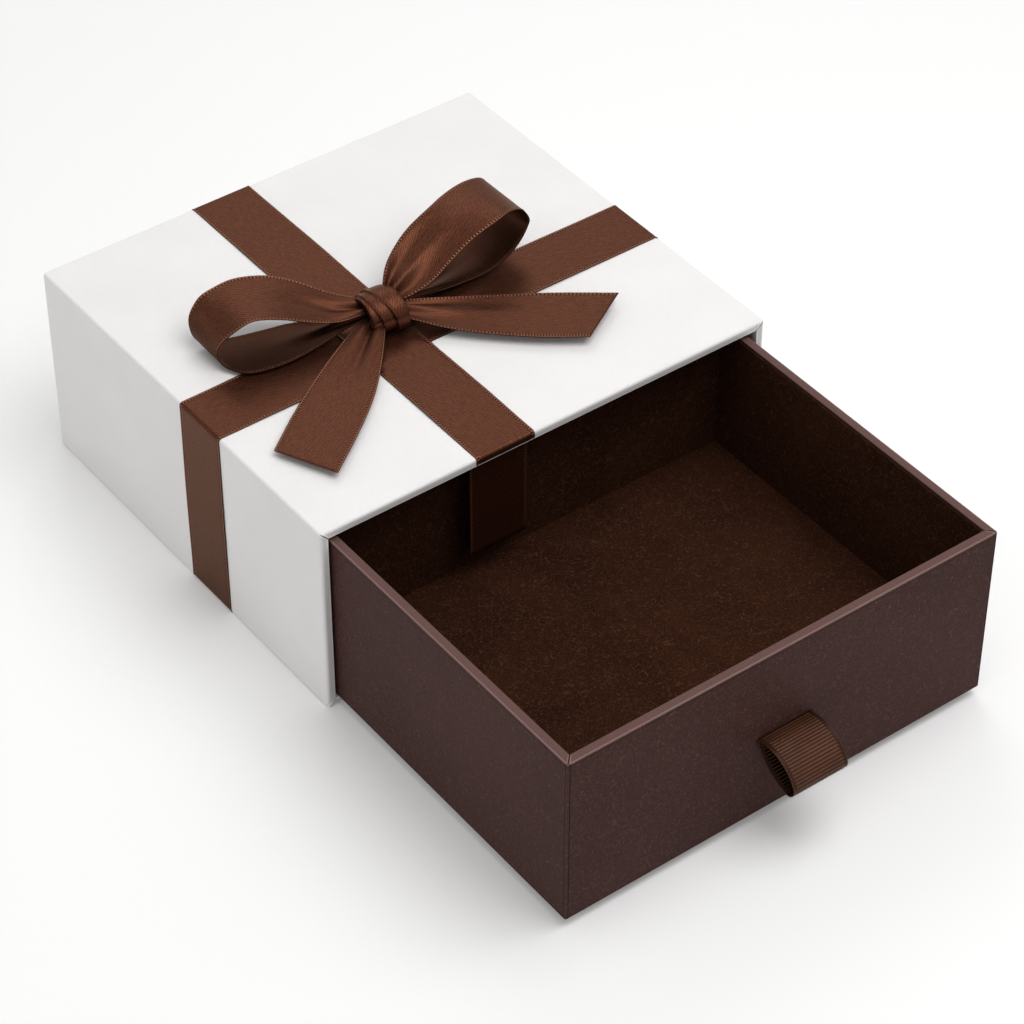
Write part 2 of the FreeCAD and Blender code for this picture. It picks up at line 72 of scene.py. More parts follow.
class Finish:
    """A material built from shader nodes around one Principled shader."""

    def __init__(self, name, **sockets):
        self.material = bpy.data.materials.new(name)
        self.material.use_nodes = True
        self.tree = self.material.node_tree
        self.tree.nodes.clear()
        self.output = self.tree.nodes.new("ShaderNodeOutputMaterial")
        self.shader = self.node("BsdfPrincipled", {k.replace("_", " "): v for k, v in sockets.items()})
        self.tree.links.new(self.shader.outputs[0], self.output.inputs[0])

    def node(self, kind, inputs=None, **settings):
        made = self.tree.nodes.new("ShaderNode" + kind)
        for key, value in settings.items():
            setattr(made, key, value)
        for key, value in (inputs or {}).items():
            self.feed(made.inputs[key], value)
        return made

    def feed(self, socket, value):
        if isinstance(value, bpy.types.NodeSocket):
            self.tree.links.new(value, socket)
        else:
            socket.default_value = value

    def sum(self, operation, *values):
        made = self.node("Math", operation=operation)
        for socket, value in zip(made.inputs, values):
            self.feed(socket, value)
        return made.outputs[0]

    def stretched(self, where, scale):
        return self.node("Mapping", {"Vector": where, "Scale": scale}).outputs[0]

    def place(self, scale=(1, 1, 1)):
        return self.stretched(self.node("TexCoord").outputs["Object"], scale)

    def insets_from(self, low, high):
        """How far in a point is from the nearer face of a box, in millimetres: across, deep, up."""
        where = self.node("TexCoord").outputs["Object"]
        axes = self.node("SeparateXYZ", {0: where}).outputs
        insets = []
        for axis, first, second in zip(axes, low, high):
            mm = self.sum("MULTIPLY", axis, 1 / MM)
            insets.append(self.sum("MINIMUM", self.sum("SUBTRACT", mm, first),
                                   self.sum("SUBTRACT", second, mm)))
        return insets

    def line_at(self, value, place, width):
        """1 within half a width of a place, fading out over the other half."""
        away = self.sum("ABSOLUTE", self.sum("SUBTRACT", value, place))
        return self.range(away, width * 0.25, width * 0.75, 1.0, 0.0)

    def noise(self, where, scale, detail=2.0, distortion=0.0, roughness=0.5):
        return self.node("TexNoise", {"Vector": where, "Scale": scale, "Detail": detail,
                                      "Distortion": distortion, "Roughness": roughness}).outputs[0]

    def steps(self, value, *stops):
        made = self.node("ValToRGB", {"Fac": value})
        ramp = made.color_ramp
        while len(ramp.elements) < len(stops):
            ramp.elements.new(0.5)
        for element, (position, colour) in zip(ramp.elements, stops):
            element.position = position
            element.color = (*colour, 1) if len(colour) == 3 else colour
        return made.outputs[0]

    def range(self, value, low, high, new_low, new_high):
        return self.node("MapRange", {"Value": value, "From Min": low, "From Max": high,
                                      "To Min": new_low, "To Max": new_high}).outputs[0]

    def blend(self, share, first, second):
        made = self.node("Mix", data_type="RGBA")
        self.feed(made.inputs[0], share)
        for socket, value in ((made.inputs[6], first), (made.inputs[7], second)):
            if not isinstance(value, bpy.types.NodeSocket):
                value = (*value, 1)
            self.feed(socket, value)
        return made.outputs[2]

    def strokes(self, where, scale, cover=0.5):
        """Short curly strokes, as in a pressed grain or a suede nap: 1 on a stroke, 0 off it."""
        field = self.noise(where, scale, 1.5, 1.6)
        ridge_with_painted_highlight = self.sum("ABSOLUTE", self.sum("SUBTRACT", field, 0.5))
        line = self.range(ridge_with_painted_highlight, 0.0, 0.035, 1.0, 0.0)
        gate = self.noise(where, scale * 2.1, 1.0)
        kept = self.range(gate, cover, cover + 0.12, 0.0, 1.0)
        return self.sum("MULTIPLY", line, kept)

    def relief(self, height, strength, distance, under=None):
        inputs = {"Height": height, "Strength": strength, "Distance": distance}
        if under is not None:
            inputs["Normal"] = under
        return self.node("Bump", inputs).outputs[0]

    def wear(self, **links):
        for key, value in links.items():
            self.feed(self.shader.inputs[key.replace("_", " ")], value)
        return self.material


def lay_floor():
    bm = bmesh.new()
    bmesh.ops.create_grid(bm, x_segments=1, y_segments=1, size=8.0)
    mesh = bpy.data.meshes.new("floor")
    bm.to_mesh(mesh)
    bm.free()
    floor = bpy.data.objects.new("floor", mesh)
    SCENE.collection.objects.link(floor)
    finish = Finish("floor", Roughness=0.8, Specular_IOR_Level=0.1)
    rays = finish.node("LightPath").outputs
    seen = finish.sum("MAXIMUM", rays["Is Camera Ray"],
                      finish.sum("MAXIMUM", rays["Is Glossy Ray"], rays["Is Transmission Ray"]))
    finish.wear(Base_Color=finish.blend(seen, (0.80, 0.80, 0.80), (1.0, 1.0, 1.0)))
    glow = finish.node("Emission", {"Color": (1, 1, 1, 1), "Strength": 1.0})
    place = finish.node("TexCoord").outputs["Object"]
    away = finish.node("VectorMath", {0: place}, operation="LENGTH").outputs["Value"]
    share = finish.sum("MULTIPLY", seen, finish.range(away, 0.75, 1.9, 0.12, 1.0))
    mixed = finish.node("MixShader", {0: share, 1: finish.shader.outputs[0], 2: glow.outputs[0]})
    finish.tree.links.new(mixed.outputs[0], finish.output.inputs[0])
    mesh.materials.append(finish.material)


def hang_lamp(name, place, aim, width, depth, power):
    lamp = bpy.data.lights.new(name, "AREA")
    lamp.shape = "RECTANGLE"
    lamp.size, lamp.size_y = width, depth
    lamp.energy = power
    holder = bpy.data.objects.new(name, lamp)
    holder.location = place
    holder.rotation_euler = (Vector(aim) - Vector(place)).to_track_quat("-Z", "Y").to_euler()
    SCENE.collection.objects.link(holder)


def light_studio():
    world = bpy.data.worlds.new("studio")
    SCENE.world = world
    world.use_nodes = True
    nodes, links = world.node_tree.nodes, world.node_tree.links
    nodes.clear()
    seen = nodes.new("ShaderNodeBackground")
    seen.inputs["Strength"].default_value = 1.0
    seen.inputs["Color"].default_value = (1, 1, 1, 1)
    soft = nodes.new("ShaderNodeBackground")
    soft.inputs["Strength"].default_value = 0.46
    soft.inputs["Color"].default_value = (1.0, 0.99, 0.98, 1)
    path = nodes.new("ShaderNodeLightPath")
    either, any_seen = nodes.new("ShaderNodeMath"), nodes.new("ShaderNodeMath")
    either.operation = any_seen.operation = "MAXIMUM"
    links.new(path.outputs["Is Glossy Ray"], either.inputs[0])
    links.new(path.outputs["Is Transmission Ray"], either.inputs[1])
    links.new(path.outputs["Is Camera Ray"], any_seen.inputs[0])
    links.new(either.outputs[0], any_seen.inputs[1])
    mix = nodes.new("ShaderNodeMixShader")
    out = nodes.new("ShaderNodeOutputWorld")
    links.new(any_seen.outputs[0], mix.inputs[0])
    links.new(soft.outputs[0], mix.inputs[1])
    links.new(seen.outputs[0], mix.inputs[2])
    links.new(mix.outputs[0], out.inputs[0])
    hang_lamp("overhead", (0.36, -0.55, 1.9), (0, -0.05, 0.1), 1.5, 1.5, 24.0)
    hang_lamp("far_window", (0.85, 1.5, 1.8), (0, 0.1, 0.15), 1.2, 1.0, 6.8)
    hang_lamp("side_card", (-1.7, 0.35, 0.45), (-0.1, 0.1, 0.1), 1.2, 0.8, 3.6)


lay_floor()
light_studio()
SCENE.view_settings.view_transform = "Standard"


# ------------------------------------------------------------------ finishes
def mitres(f, across, up, depth, reach):
    """Where paper folded over a rim meets in a corner: the slit, painted dark as shade, and the curled
    edges beside it, painted pale as highlight.
    """
    there = f.sum("MULTIPLY", f.range(depth, 0.5, 0.9, 1.0, 0.0),
                  f.range(f.sum("MAXIMUM", across, up), reach, reach + 0.6, 1.0, 0.0))
    sag = f.sum("MULTIPLY", f.sum("SUBTRACT", reach, across), f.sum("MULTIPLY", across, 0.05))
    gap = f.sum("SUBTRACT", f.sum("SUBTRACT", across, up), sag)
    # Painted shade: the slit as a dark line. Painted highlight: the lifted edges beside it as pale
    # lines; the same mask also raises them as a bump.
    slit = f.sum("MULTIPLY", f.line_at(gap, 0.0, 0.6), there)
    curl_with_painted_highlight = f.sum("MULTIPLY", f.line_at(f.sum("ABSOLUTE", gap), 1.2, 1.1), there)
    return slit, curl_with_painted_highlight


def white_embossed_paper():
    """Off-white wrapping paper with a fine embossed grain; its mouth and back faces painted greyer as
    shade, with painted highlight lines on them and on the curled mitre edges, and painted shade in the
    mitre slits.
    """
    f = Finish("white_embossed_paper", Roughness=0.52)
    where = f.place()
    grain = f.noise(where, 1500, 3, 0.4)
    curls = f.strokes(where, 420, 0.5)
    cloudy = f.noise(where, 14, 3)
    shade = f.steps(cloudy, (0.3, (0.815, 0.796, 0.794)), (0.7, (0.855, 0.838, 0.837)))
    colour = f.blend(f.sum("MULTIPLY", curls, 0.22), shade, (0.66, 0.65, 0.65))
    across, deep, up = f.insets_from(*SLEEVE)
    slit, curl_with_painted_highlight = mitres(f, across, up, deep, 6.0)
    rim = f.sum("MINIMUM", across, up)
    front = f.range(deep, 0.5, 0.9, 1.0, 0.0)
    # Painted shade: every face within about 0.5 mm of the mouth or back plane (the mouth's board edges
    # and the whole closed back) greyed half way towards a darker grey, from about 2 mm in from the outer
    # edges.
    flat = f.sum("MULTIPLY", f.sum("MULTIPLY", f.range(rim, 1.7, 2.2, 0.0, 1.0), front), 0.5)
    colour = f.blend(flat, colour, (0.60, 0.585, 0.58))
    # Painted highlight: a pale line 5.5 mm in from the outer edges of those faces (the mouth's inner
    # edge, and a frame on the back), and the curled mitre edges drawn pale.
    painted_edge_highlight = f.sum("MULTIPLY", f.line_at(rim, 5.5, 0.9), front)
    colour = f.blend(f.sum("MAXIMUM", curl_with_painted_highlight, painted_edge_highlight), colour, (0.95, 0.95, 0.95))
    # Painted shade: the mitre slits drawn as dark lines.
    colour = f.blend(f.sum("MULTIPLY", slit, 0.9), colour, (0.10, 0.095, 0.09))
    rough = f.range(grain, 0.3, 0.7, 0.46, 0.60)
    bump = f.relief(grain, 0.30, 0.00025)
    bump = f.relief(curls, 0.45, 0.0003, bump)
    bump = f.relief(curl_with_painted_highlight, 0.5, 0.0004, bump)
    bump = f.relief(slit, 0.8, -0.0006, bump)
    return f.wear(Base_Color=colour, Roughness=rough, Normal=bump)


def plum_leatherette():
    """Plum-brown leatherette paper with a short curly grain; its rim faces, rim edge and curled mitre
    edges painted paler as highlight, a paler band along its folded corners, and painted shade in its
    creases, grooves and slits.
    """
    f = Finish("plum_leatherette", Specular_IOR_Level=0.04, Specular_Tint=(1.0, 0.66, 0.60, 1))
    where = f.place()
    grain = f.noise(where, 1300, 3, 0.5)
    curls = f.strokes(where, 210, 0.40)
    fine = f.strokes(where, 460, 0.42)
    cloudy = f.noise(where, 9, 4, 0.6)
    shade = f.steps(cloudy, (0.25, (0.054, 0.0242, 0.0206)), (0.75, (0.072, 0.0342, 0.0294)))
    dark = f.blend(f.range(grain, 0.35, 0.65, 0.45, 0.0), shade, (0.024, 0.0115, 0.0100))
    colour = f.blend(f.sum("MULTIPLY", fine, 0.35), dark, (0.088, 0.049, 0.043))
    colour = f.blend(f.sum("MULTIPLY", curls, 0.75), colour, (0.140, 0.078, 0.066))
    across, deep, up = f.insets_from(*DRAWER)
    slit, curl_with_painted_highlight = mitres(f, across, deep, up, 6.0)
    # Painted highlight: the faces within about 1 mm of the rim's top plane made paler, and the same
    # happens to the drawer's underside.
    painted_rim_face_highlight = f.range(up, 0.35, 1.3, 1.0, 0.0)
    colour = f.blend(f.sum("MULTIPLY", painted_rim_face_highlight, 0.62), colour, (0.170, 0.098, 0.088))
    side = f.sum("MINIMUM", across, deep)
    corner = f.sum("MAXIMUM", across, deep)
    # Painted highlight: a pale line 0.5 mm in along the rim's outer edge, joined with the pale curled
    # mitre edges; the same masks raise them as a bump.
    ridge_with_painted_highlight = f.sum("MULTIPLY", f.line_at(side, 0.5, 0.9), f.range(up, 0.6, 1.6, 1.0, 0.0))
    band = f.sum("MULTIPLY", f.range(corner, 1.4, 1.9, 1.0, 0.0), f.range(corner, 0.2, 0.6, 0.0, 1.0))
    colour = f.blend(f.sum("MULTIPLY", f.sum("MAXIMUM", ridge_with_painted_highlight, curl_with_painted_highlight), 0.7), colour,
                     (0.290, 0.185, 0.170))
    colour = f.blend(f.sum("MULTIPLY", band, 0.13), colour, (0.170, 0.098, 0.088))
    outside = f.range(side, 0.2, 0.4, 1.0, 0.0)
    # Painted shade: dark lines at the folded vertical corners, and 2.4 mm in from the top and bottom
    # edges of the outer walls, joined with the mitre slits and the slit over the tab; the same lines are
    # also sunk as a bump.
    painted_crease_shade = f.sum("MULTIPLY", f.line_at(corner, 1.9, 0.6), outside)
    groove = f.sum("MULTIPLY", f.line_at(up, 2.4, 0.6), outside)
    x, y, z = f.node("SeparateXYZ", {0: f.node("TexCoord").outputs["Object"]}).outputs
    beside = f.sum("ABSOLUTE", f.sum("SUBTRACT", x, TAB_CENTRE * MM))
    in_front = f.range(y, (DRAWER[0][1] + 0.4) * MM, (DRAWER[0][1] + 0.6) * MM, 1.0, 0.0)
    # Painted shade: a dark line along the slit over the pull tab, and painted shadows running down
    # beside the tab's two ends.
    over = f.sum("MULTIPLY", f.line_at(z, (TAB_HEIGHT + 1.3) * MM, 1.2 * MM),
                 f.range(beside, SLIT_END * MM, (SLIT_END + 0.5) * MM, 1.0, 0.0))
    painted_shadows_beside_tab = f.sum("MULTIPLY", f.line_at(beside, SLIT_END * MM, 1.0 * MM),
                  f.line_at(z, (TAB_HEIGHT - 0.4) * MM, 4.0 * MM))
    cut = f.sum("MULTIPLY", f.sum("MAXIMUM", over, painted_shadows_beside_tab), in_front)
    dents_with_painted_shade = f.sum("MAXIMUM", f.sum("MULTIPLY", groove, 0.6), f.sum("MAXIMUM", slit, painted_crease_shade))
    dents_with_painted_shade = f.sum("MAXIMUM", dents_with_painted_shade, cut)
    colour = f.blend(f.sum("MULTIPLY", dents_with_painted_shade, 0.85), colour, (0.008, 0.004, 0.0035))
    rough = f.range(grain, 0.3, 0.7, 0.42, 0.56)
    bump = f.relief(grain, 0.35, 0.0003)
    bump = f.relief(fine, 0.35, 0.0003, bump)
    bump = f.relief(curls, 0.45, 0.0004, bump)
    bump = f.relief(f.sum("MAXIMUM", ridge_with_painted_highlight, curl_with_painted_highlight), 0.6, 0.0005, bump)
    bump = f.relief(dents_with_painted_shade, 0.8, -0.0005, bump)
    return f.wear(Base_Color=colour, Roughness=rough, Normal=bump)


def chocolate_suede():
    """Dark brown suede paper: a short curly nap, brushed into lighter and darker clouds."""
    f = Finish("chocolate_suede", Roughness=0.95, Sheen_Weight=0.03, Sheen_Roughness=0.5,
               Sheen_Tint=(0.45, 0.20, 0.11, 1), Specular_IOR_Level=0.02)
    where = f.place()
    nap = f.noise(where, 1500, 3, 0.8)
    curls = f.strokes(where, 200, 0.36)
    fine = f.strokes(where, 420, 0.38)
    cloudy = f.noise(where, 11, 5, 1.2, 0.62)
    shade = f.steps(cloudy, (0.32, (0.012, 0.0041, 0.0020)), (0.68, (0.034, 0.0119, 0.0058)))
    fuzz = f.blend(f.range(nap, 0.35, 0.7, 0.0, 0.6), shade, (0.050, 0.0200, 0.0110))
    colour = f.blend(f.sum("MULTIPLY", fine, 0.4), fuzz, (0.070, 0.0290, 0.0165))
    colour = f.blend(f.sum("MULTIPLY", curls, 0.75), colour, (0.105, 0.0430, 0.0240))
    bump = f.relief(nap, 0.5, 0.0004)
    bump = f.relief(curls, 0.5, 0.0005, bump)
    return f.wear(Base_Color=colour, Normal=bump)


def greyboard():
    """Recycled grey board with flecks of fibre."""
    f = Finish("greyboard", Roughness=0.9)
    where = f.place()
    pulp = f.noise(where, 260, 5, 0.5)
    fleck = f.noise(f.place((1, 1, 3.0)), 900, 2)
    colour = f.steps(pulp, (0.3, (0.23, 0.22, 0.20)), (0.7, (0.34, 0.33, 0.30)))
    colour = f.blend(f.range(fleck, 0.62, 0.7, 0.0, 0.5), colour, (0.12, 0.11, 0.10))
    return f.wear(Base_Color=colour, Normal=f.relief(pulp, 0.4, 0.0005))


def cloth_place(f):
    """Distance along the ribbon and across it from its middle, in millimetres."""
    where = f.node("UVMap", uv_map="cloth").outputs[0]
    parts = f.node("SeparateXYZ", {0: where})
    return parts.outputs[0], parts.outputs[1], where


def stitch_row(f, along, across, from_middle, pitch):
    """A row of sewing the same distance each side of the middle: its line, and its dark gaps."""
    offset = f.sum("ABSOLUTE", f.sum("SUBTRACT", f.sum("ABSOLUTE", across), from_middle))
    line = f.range(offset, 0.50, 0.85, 1.0, 0.0)
    beat = f.sum("SINE", f.sum("MULTIPLY", along, 2 * math.pi / pitch))
    dash = f.range(beat, -0.3, 0.2, 0.0, 1.0)
    return line, f.sum("MULTIPLY", line, dash)


TWILL_SLANT = 0.45                              # turn of the weave lines from the ribbon's length


def chocolate_satin(half_width):
    """Satin ribbon: slanting weave lines, a stitched selvedge, a soft lustre, and the turned-under
    strand of each loop painted darker as shade.
    """
    f = Finish("chocolate_satin", Metallic=0.75, Specular_IOR_Level=0.06,
               Specular_Tint=(1.0, 0.82, 0.72, 1))
    along, across, where = cloth_place(f)
    slanted = f.node("Mapping", {"Vector": where, "Rotation": (0, 0, TWILL_SLANT)}).outputs[0]
    weft = f.node("TexWave", {"Vector": slanted, "Scale": 0.17, "Distortion": 5.0, "Detail": 3.0,
                              "Detail Scale": 1.2}, bands_direction="Y").outputs[1]
    slub = f.noise(f.stretched(where, (0.05, 0.35, 1)), 3.0, 3)
    threads = f.noise(f.stretched(where, (2.2, 0.25, 1)), 1.0, 2)
    shade = f.steps(slub, (0.3, (0.040, 0.0132, 0.0068)), (0.7, (0.084, 0.0288, 0.0155)))
    shade = f.blend(f.range(threads, 0.35, 0.75, 0.0, 0.5), shade, (0.150, 0.0560, 0.0320))
    shade = f.blend(f.range(weft, 0.45, 0.85, 0.0, 0.6), shade, (0.034, 0.0118, 0.0065))
    edge = f.sum("ABSOLUTE", across)
    selvedge = f.range(edge, half_width - 1.1, half_width - 0.8, 0.0, 1.0)
    colour = f.blend(f.sum("MULTIPLY", selvedge, 0.65), shade, (0.225, 0.094, 0.056))
    sewing, gaps = stitch_row(f, along, across, half_width - 1.75, 2.3)
    colour = f.blend(f.sum("MULTIPLY", sewing, 0.65), colour, (0.235, 0.098, 0.058))
    colour = f.blend(f.sum("MULTIPLY", gaps, 0.97), colour, (0.004, 0.0015, 0.001))
    # Painted shade: the turned-under strand of each loop made much darker, standing in for the shade
    # inside the loops.
    reverse_painted_shade = f.node("Attribute", {}, attribute_name="reverse_painted_shade").outputs["Fac"]
    colour = f.blend(f.sum("MULTIPLY", reverse_painted_shade, 0.62), colour, (0.014, 0.0050, 0.0028))
    brink = f.range(edge, half_width - 0.6, half_width - 0.3, 0.0, 0.85)
    colour = f.blend(brink, colour, (0.012, 0.0042, 0.0024))
    rough = f.range(threads, 0.3, 0.7, 0.31, 0.42)
    bump = f.relief(threads, 0.15, 0.10 * MM)
    bump = f.relief(weft, 0.30, 0.16 * MM, bump)
    bump = f.relief(gaps, 0.7, -0.30 * MM, bump)
    return f.wear(Base_Color=colour, Roughness=rough, Normal=bump)


def chocolate_grosgrain(half_width, pitch, nose):
    """Grosgrain ribbon: ribs across it, their crests painted copper as highlight and the gaps between
    painted dark as shade, inside a plain border.
    """
    f = Finish("chocolate_grosgrain", Metallic=0.25, Specular_IOR_Level=0.12)
    along, across, where = cloth_place(f)
    warp = f.noise(f.stretched(where, (0.5, 2.6, 1)), 1.0, 2)
    rib = f.sum("COSINE", f.sum("MULTIPLY", along, 2 * math.pi / pitch))
    inset = f.sum("SUBTRACT", half_width, f.sum("ABSOLUTE", across))
    inside = f.range(inset, 2.4, 2.9, 0.0, 1.0)
    shade = f.steps(warp, (0.3, (0.040, 0.0142, 0.0072)), (0.7, (0.074, 0.027, 0.0140)))
    painted_highlight_copper = f.steps(warp, (0.3, (0.140, 0.053, 0.026)), (0.7, (0.265, 0.108, 0.056)))
    # Painted highlight on the rib crests and painted shade in the gaps between ribs, inside the border
    # and weaker towards the nose.
    clear = f.sum("MULTIPLY", inside, f.range(along, nose - 16, nose - 2, 1.0, 0.35))
    painted_crest_highlight = f.sum("MULTIPLY", f.range(rib, 0.15, 0.80, 0.0, 1.0), clear)
    gap = f.sum("MULTIPLY", f.range(rib, 0.30, -0.20, 0.0, 1.0), clear)
    colour = f.blend(painted_crest_highlight, shade, painted_highlight_copper)
    colour = f.blend(f.sum("MULTIPLY", gap, 0.96), colour, (0.005, 0.002, 0.0012))
    cross = f.range(f.sum("COSINE", f.sum("MULTIPLY", across, 2 * math.pi / 1.7)), 0.1, 0.7, 0.0, 1.0)
    worn = f.noise(f.stretched(where, (0.06, 0.05, 1)), 1.0, 2)
    hatch = f.sum("MULTIPLY", f.sum("MULTIPLY", cross, inside), f.range(worn, 0.42, 0.60, 0.0, 0.55))
    colour = f.blend(hatch, colour, (0.012, 0.005, 0.003))
    lines = f.sum("ABSOLUTE", f.sum("SUBTRACT", f.sum("ABSOLUTE", f.sum("SUBTRACT", inset, 1.75)), 0.6))
    border = f.range(lines, 0.15, 0.38, 0.9, 0.0)
    colour = f.blend(border, colour, (0.008, 0.003, 0.002))
    rough = f.range(warp, 0.3, 0.7, 0.34, 0.5)
    bump = f.relief(warp, 0.35, 0.15 * MM)
    bump = f.relief(border, 0.6, -0.25 * MM, bump)
    return f.wear(Base_Color=colour, Roughness=rough, Normal=bump)


RIBBON_WIDTH, RIBBON = 46.0, 0.5
SLEEVE = [[value / MM for value in corner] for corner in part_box("sleeve_wrap")]
DRAWER = [[value / MM for value in corner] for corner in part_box("drawer_wrap")]
TAB_CENTRE = (DRAWER[0][0] + DRAWER[1][0]) / 2
TAB_HEIGHT = 71.5
TAB_WIDTH, TAB, RIB_PITCH = 43.0, 0.8, 2.2
TAB_NOSE = 66.0                                 # along the pull tab to the middle of its bend
SLIT_END = 22.3                                 # from the middle of the slit to its end
WHITE_PAPER = white_embossed_paper()
PLUM_PAPER = plum_leatherette()
SUEDE = chocolate_suede()
BOARD = greyboard()
SATIN = chocolate_satin(RIBBON_WIDTH / 2)
GROSGRAIN = chocolate_grosgrain(TAB_WIDTH / 2, RIB_PITCH, TAB_NOSE)


# ------------------------------------------------------------------ pieces kept from the frame
def finish_for(node):
    if node in ("sleeve_wrap", "sleeve_lining"):
        return WHITE_PAPER
    if node == "drawer_wrap":
        return PLUM_PAPER
    if node.startswith("lining_") or node == "platform_suede":
        return SUEDE
    return BOARD


for node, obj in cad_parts.items():
    obj.data.materials.clear()
    obj.data.materials.append(finish_for(node))


# ------------------------------------------------------------------ making new pieces
def new_piece(name, bm, body, slot, finish, *nodes):
    """A finished mesh as a piece of the object, in place of the nodes that it stands for."""
    mesh = bpy.data.meshes.new(name)
    bm.to_mesh(mesh)
    bm.free()
    for face in mesh.polygons:
        face.use_smooth = True
    mesh.materials.append(finish)
    piece = bpy.data.objects.new(name, mesh)
    SCENE.collection.objects.link(piece)
    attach(piece, body)
    if nodes:
        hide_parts(*nodes)
    return piece


def woven_strip(alongs, acrosses, put, turned_under=None):
    """A flat grid of cloth moved into place by put(along, across), its cloth map in mm. Where
    turned_under(along) is 1, the strip is marked for painted shade, as inside a loop."""
    bm = bmesh.new()
    bmesh.ops.create_grid(bm, x_segments=len(alongs) - 1, y_segments=len(acrosses) - 1, size=0.5)
    cloth = bm.loops.layers.uv.new("cloth")
    numbers = {}
    for vert in bm.verts:
        i = round((vert.co.x + 0.5) * (len(alongs) - 1))
        j = round((vert.co.y + 0.5) * (len(acrosses) - 1))
        numbers[vert.index] = (i, j)
    for face in bm.faces:
        for loop in face.loops:
            i, j = numbers[loop.vert.index]
            loop[cloth].uv = (alongs[i], acrosses[j])
    reverse_painted_shade = bm.verts.layers.float.new("reverse_painted_shade") if turned_under else None
    for vert in bm.verts:
        i, j = numbers[vert.index]
        vert.co = put(i, j) * MM
        if turned_under:
            vert[reverse_painted_shade] = turned_under(alongs[i])
    return bm


def give_thickness(piece, thickness, offset=0.0):
    wall = piece.modifiers.new("thickness", "SOLIDIFY")
    wall.thickness = thickness * MM
    wall.offset = offset
    return piece


# ------------------------------------------------------------------ paper turned over the rims
PROUD = 0.10                                    # how far the folded paper stands off the wrap
MITRE_GAP = 0.5
CURL = 0.5                                      # how far its ends lift
PAPER = 0.25
SLEEVE_FOLD = (2.0, 6.0, 17.5)                  # radius, wall and depth turned in
DRAWER_FOLD = (1.6, 6.1, 1.8)


def fold_profile(radius, wall, turn_in):
    """Across a turned edge: (inset, height, outward inset, outward height), outside to inside."""
    inner = 0.3
    rows = []
    for degrees in range(180, 89, -15):
        c, s = math.cos(math.radians(degrees)), math.sin(math.radians(degrees))
        rows.append((radius + (radius + PROUD) * c, (radius + PROUD) * s - radius, c, s))
    rows.append((wall / 2, PROUD, 0, 1))
    for degrees in (90, 60, 30, 0):
        c, s = math.cos(math.radians(degrees)), math.sin(math.radians(degrees))
        rows.append((wall - inner + (inner + PROUD) * c, (inner + PROUD) * s - inner, c, s))
    rows.append((wall + PROUD, -turn_in, 1, 0))
    return rows


def turned_edge(name, body, slot, finish, corners, out, radius, wall, turn_in):
    """The paper folded over the rim of an open box: four strips, mitred, their ends lifting."""
    profile = fold_profile(radius, wall, turn_in)
    from_end = [0.0, 0.25, 0.55, 0.95, 1.5, 2.4, 4.0]
    count = len(from_end)
    middle = sum(corners, Vector()) / 4
    whole = bmesh.new()
    for first, second in zip(corners, corners[1:] + corners[:1]):
        along = (second - first).normalized()
        inward = out.cross(along)
        if inward.dot(middle - first) < 0:
            first, second, along, inward = second, first, -along, -inward
        length = (second - first).length

        def put(i, j):
            inset, height, face_in, face_out = profile[j]
            back = max(0.0, 0.9 - abs(inset) / 1.2) + max(0.0, 0.9 - abs(wall - inset) / 1.2)
            start = min(max(inset, 0.55 * radius), wall) + MITRE_GAP / 2 + 0.5 * back ** 2
            away = from_end[i] if i < count else from_end[2 * count - 1 - i]
            place = start + away if i < count else length - start - away
            lift = CURL * math.exp(-(away / 0.8) ** 2) * math.sin(math.pi * min(1, max(0, inset / wall)))
            return first + along * place + inward * (inset + face_in * lift) \
                + out * (height + face_out * lift)

        strip = woven_strip(list(range(2 * count)), list(range(len(profile))), put)
        mesh = bpy.data.meshes.new("strip")
        strip.to_mesh(mesh)
        strip.free()
        whole.from_mesh(mesh)
        bpy.data.meshes.remove(mesh)
    piece = new_piece(name, whole, body, slot, finish)
    return give_thickness(piece, PAPER, -1.0)


def rim_corners(low, high, axis, level):
    """The four corners of a box's open end, in order, at a level on one axis."""
    first, second = [k for k in range(3) if k != axis]
    corners = []
    for a, b in ((low, low), (high, low), (high, high), (low, high)):
        corner = Vector()
        corner[first], corner[second], corner[axis] = a[first], b[second], level
        corners.append(corner)
    return corners


turned_edge("white_paper_turned_edge", "sleeve", "white_paper", WHITE_PAPER,
            rim_corners(*SLEEVE, 1, SLEEVE[0][1]), Vector((0, -1, 0)), *SLEEVE_FOLD)
turned_edge("plum_paper_turned_edge", "drawer", "plum_paper", PLUM_PAPER,
            rim_corners(*DRAWER, 2, DRAWER[1][2]), Vector((0, 0, 1)), *DRAWER_FOLD)


# ------------------------------------------------------------------ ribbon round the sleeve

def across_stations(width):
    """Places across a ribbon, closer together at its two stitched selvedges."""
    half = width / 2
    edge = [0.0, 0.35, 0.8, 1.2, 1.5, 1.75, 2.0, 2.5, 4.0]
    inner = list(np.linspace(-half + 6.5, half - 6.5, 15))
    return [-half + e for e in edge] + inner + [half - e for e in reversed(edge)]


def selvedge_rise(across, width):
    """How far the cloth stands up along its selvedge, and sinks in at the stitch line."""
    inset = width / 2 - abs(across)
    bead = 0.16 * math.exp(-((inset - 0.65) / 0.5) ** 2)
    groove = 0.16 * math.exp(-((inset - 1.75) / 0.28) ** 2)
    return bead - groove


